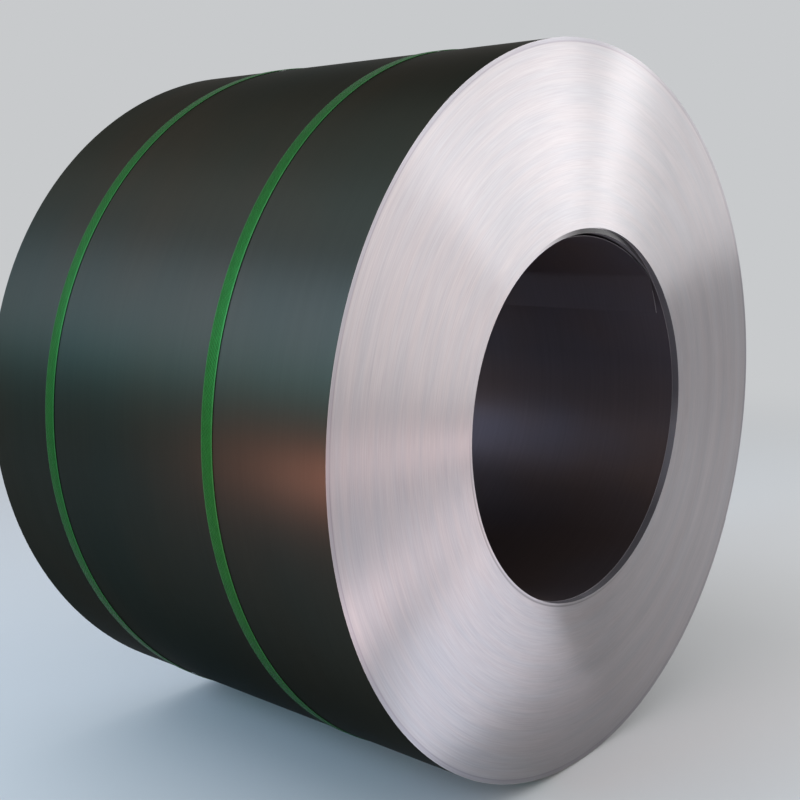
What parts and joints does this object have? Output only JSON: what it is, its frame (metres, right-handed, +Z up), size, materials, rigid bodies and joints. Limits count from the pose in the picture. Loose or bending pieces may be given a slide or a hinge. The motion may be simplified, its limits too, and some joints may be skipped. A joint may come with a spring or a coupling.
{
  "type": "steel coil",
  "caption": "Slit coil of steel strip with an open bore and a loose inner end, lying on its side, held closed by green polyester straps.",
  "frame": {"origin": "on the floor, under the middle of the coil's bounding box", "axes": "+Y along the coil's axis from the front end, where the innermost turn is set back, to the rear end; +Z up; +X to the right seen from the front end"},
  "size_m": [0.9927, 0.662, 0.9932],
  "materials": {
    "rolled_steel": "oiled cold-rolled strip, dark satin round the outside, bright slit edges on the ends",
    "strap_polyester": "embossed green polyester strapping"
  },
  "bodies": {
    "root": {"strip_coil": "rolled_steel", "strap_front": "strap_polyester", "strap_rear": "strap_polyester"}
  },
  "joints": []
}
